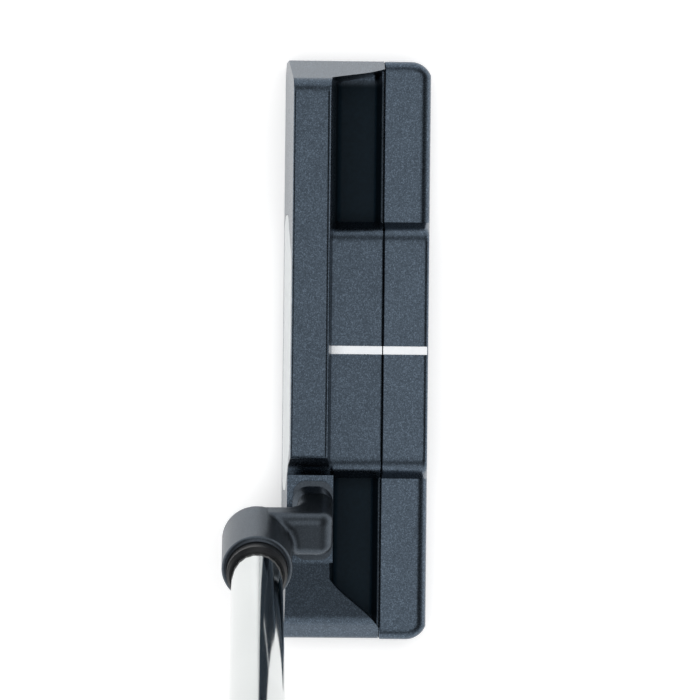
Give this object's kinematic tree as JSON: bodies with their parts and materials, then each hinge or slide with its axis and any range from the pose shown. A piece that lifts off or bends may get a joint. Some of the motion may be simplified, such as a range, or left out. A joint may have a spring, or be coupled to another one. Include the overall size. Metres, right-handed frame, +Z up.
{
  "type": "golf putter",
  "caption": "Blade putter with a wide rear bar, a centre sight line, a crank neck, a tapered steel shaft and a pistol grip.",
  "frame": {"origin": "on the sole's flat, 11 mm behind the leading edge, at the sight line; +Z up at address", "axes": "+X toward the heel, the side the shaft leans to; -Y is the way the face looks; +Z up from the sole"},
  "size_m": [0.3942, 0.0464, 0.8154],
  "materials": {
    "body_steel": "satin",
    "neck_steel": "satin",
    "sight_paint": "satin",
    "insert_elastomer": "satin",
    "insert_alloy": "satin",
    "adhesive": "matte",
    "shaft_chrome": "gloss",
    "ferrule_black": "gloss",
    "plug_rubber": "matte",
    "weight_steel": "satin",
    "pin_steel": "satin",
    "washer_rubber": "matte",
    "grip_rubber": "matte",
    "tape_paper": "matte"
  },
  "bodies": {
    "root": {"head_body": "body_steel", "rear_weight_bar": "body_steel", "hosel_neck": "neck_steel", "sight_line_front": "sight_paint", "sight_line_rear": "sight_paint", "face_insert_skin": "insert_elastomer", "insert_backer": "insert_alloy", "insert_bond_film": "adhesive", "neck_bond_film": "adhesive", "bar_bond_film": "adhesive", "shaft_epoxy": "adhesive", "ferrule_ring": "ferrule_black", "shaft_tube": "shaft_chrome", "shaft_tip_plug": "plug_rubber", "toe_weight_screw": "weight_steel", "heel_weight_screw": "weight_steel", "weight_washers": "washer_rubber", "bar_dowel_pins": "pin_steel", "grip_sleeve": "grip_rubber", "grip_tape": "tape_paper", "grip_cap": "grip_rubber"}
  },
  "joints": []
}
